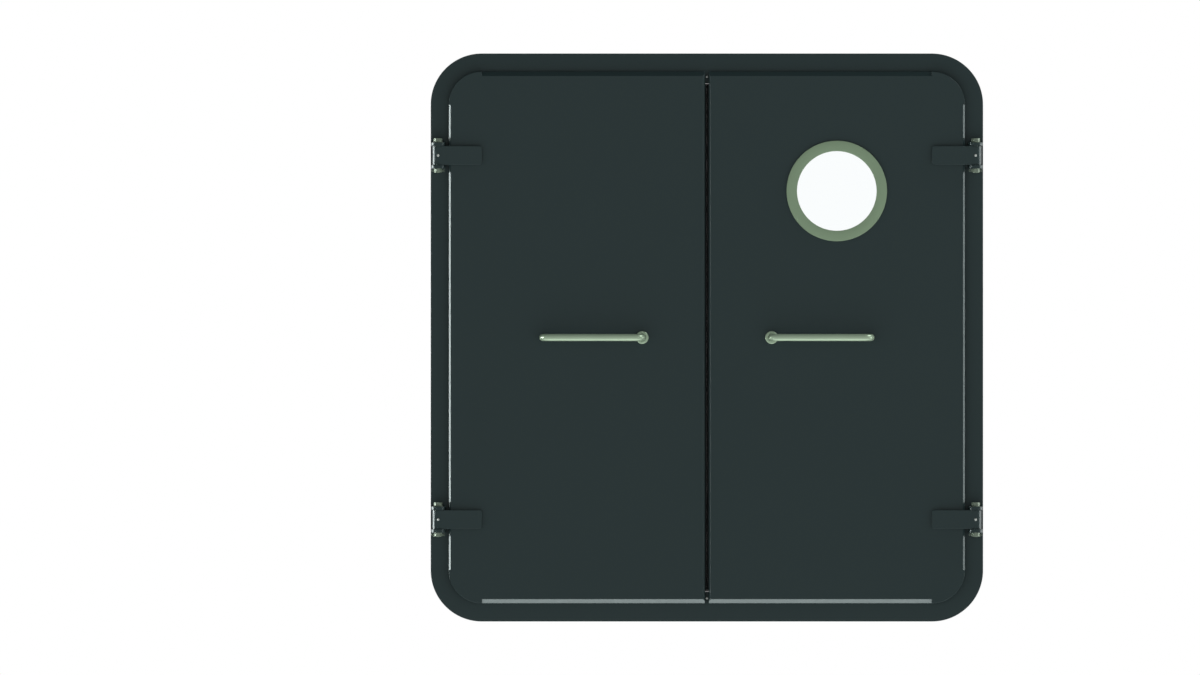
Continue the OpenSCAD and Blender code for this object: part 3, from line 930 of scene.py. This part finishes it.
def step(tree, value, band, low, high):
    """Goes smoothly from low to high while a value goes through a band."""
    made = node(tree, "ShaderNodeMapRange")
    made.interpolation_type = "SMOOTHSTEP"
    numbers = {"From Min": band[0], "From Max": band[1], "To Min": low, "To Max": high}
    for name, number in numbers.items():
        made.inputs[name].default_value = number
    tree.links.new(value, made.inputs["Value"])
    return made.outputs["Result"]


def combine(tree, operation, a, b):
    """A sum or product of two values."""
    made = tree.nodes.new("ShaderNodeMath")
    made.operation = operation
    tree.links.new(a, made.inputs[0])
    tree.links.new(b, made.inputs[1])
    return made.outputs["Value"]


def mix_value(tree, factor, a, b):
    """Goes from a to b with the factor. Each is a number or a node's output."""
    mix = tree.nodes.new("ShaderNodeMix")
    for socket, value in ((mix.inputs[0], factor), (mix.inputs[2], a), (mix.inputs[3], b)):
        if isinstance(value, float):
            socket.default_value = value
        else:
            tree.links.new(value, socket)
    return mix.outputs[0]


def side_panels(tree, x, y, z):
    """What reflections see on the left and right: an upright panel, level with the object."""
    left_band = [-edge for edge in PANEL_BAND_X]
    sides = combine(tree, "ADD", step(tree, x, left_band, 0.0, LEFT_PANEL),
                    step(tree, x, PANEL_BAND_X, 0.0, RIGHT_PANEL))
    for value, band, low, high in ((y, PANEL_BAND_Y, 0.0, 1.0), (z, PANEL_FOOT_Z, 0.0, 1.0),
                                   (z, PANEL_HEAD_Z, 1.0, 0.0)):
        sides = combine(tree, "MULTIPLY", sides, step(tree, value, band, low, high))
    return sides


def world():
    """Light from below, dark on top. Reflections see a dim front and a panel on each side."""
    made = bpy.data.worlds.new("studio")
    bpy.context.scene.world = made
    made.use_nodes = True
    made.cycles.sampling_method = "NONE"
    tree = made.node_tree
    shade = tree.nodes["Background"]
    path = tree.nodes.new("ShaderNodeLightPath")
    way = tree.nodes.new("ShaderNodeTexCoord").outputs["Generated"]
    parts = tree.nodes.new("ShaderNodeSeparateXYZ")
    tree.links.new(way, parts.inputs["Vector"])
    x, y, z = (parts.outputs[axis] for axis in "XYZ")
    soft = step(tree, z, LIGHT_BAND_Z, LIGHT_BELOW, LIGHT_ABOVE)
    room = combine(tree, "MULTIPLY", step(tree, y, ROOM_BAND_Y, FRONT_LEVEL, BACK_LEVEL),
                   step(tree, z, TOP_BAND_Z, 1.0, TOP_LEVEL))
    panels = combine(tree, "ADD", side_panels(tree, x, y, z),
                     step(tree, z, LOW_BAND_Z, 0.0, LOW_PANEL))
    glossy = combine(tree, "ADD", room, panels)
    plain = mix_value(tree, path.outputs["Is Glossy Ray"], soft, glossy)
    clear = mix_value(tree, path.outputs["Is Transmission Ray"], plain, 1.0)
    seen = mix_value(tree, path.outputs["Is Camera Ray"], clear, 1.0)
    shade.inputs["Color"].default_value = (1, 1, 1, 1)
    tree.links.new(seen, shade.inputs["Strength"])


def panel_light(name, size, place, aim, radiance, spread=180):
    """An area light that the camera doesn't see."""
    light = bpy.data.lights.new(name, "AREA")
    light.shape = "RECTANGLE"
    light.size, light.size_y = size
    light.energy = radiance * math.pi * size[0] * size[1]
    light.spread = math.radians(spread)
    lamp = bpy.data.objects.new(name, light)
    lamp.location = place
    lamp.rotation_euler = (Vector(aim) - Vector(place)).to_track_quat("-Z", "Y").to_euler()
    lamp.visible_camera = False
    bpy.context.scene.collection.objects.link(lamp)


def lights(floor):
    """A key panel for glints on the metal, a strip under the lower bevel and the floor's own light."""
    panel_light("key_panel", KEY_SIZE, KEY_PLACE, (0, 0, HEIGHT / 2), KEY_RADIANCE)
    panel_light("sill_strip", (2 * HALF_W - 2 * CORNER_R, SILL_W), (0, SILL_Y, 0.5 * MM),
                (0, SILL_Y, 1), SILL_RADIANCE, SILL_SPREAD)
    above = bpy.data.lights.new("floor_light", "SUN")
    above.energy = FLOOR_LIGHT
    above.angle = math.radians(FLOOR_LIGHT_ANGLE)
    lamp = bpy.data.objects.new("floor_light", above)
    lamp.rotation_euler = [math.radians(a) for a in FLOOR_LIGHT_TILT]
    bpy.context.scene.collection.objects.link(lamp)
    only_floor = bpy.data.collections.new("lit_by_floor_light")
    only_floor.objects.link(floor)
    lamp.light_linking.receiver_collection = only_floor


def camera():
    """Square on to the front and without perspective, with the door a little right of the middle."""
    data = bpy.data.cameras.new("camera")
    data.type = "ORTHO"
    data.ortho_scale = FRAMED_W
    data.clip_end = 100
    made = bpy.data.objects.new("camera", data)
    made.location = (-OFF_CENTRE, CAMERA_Y, HEIGHT / 2)
    made.rotation_euler = (math.radians(90), 0, 0)
    bpy.context.scene.collection.objects.link(made)
    bpy.context.scene.camera = made


frame_body()
centre_studs()
for side in SIDES:
    leaf_face(side)
    leaf_back(side)
    rim_gasket(side)
    meeting_bulb(side)
    latch_plate(side)
    grease_nipples(side)
    roses(side)
    for level in HINGE_LEVELS:
        hinge_strap(side, level)
        hinge_lug_pair(side, level)
    for face in ("front", "back"):
        lever(side, face)
hinge_bolt_set()
window()
for name, material in (("left_spindle", PLATED_STEEL), ("right_spindle", PLATED_STEEL),
                       ("window_liner", LEAF_PAINT)):
    frame["nodes"][name].data.materials.clear()
    frame["nodes"][name].data.materials.append(material)

world()
lights(stage_floor())
camera()
bpy.context.scene.view_settings.view_transform = "Standard"
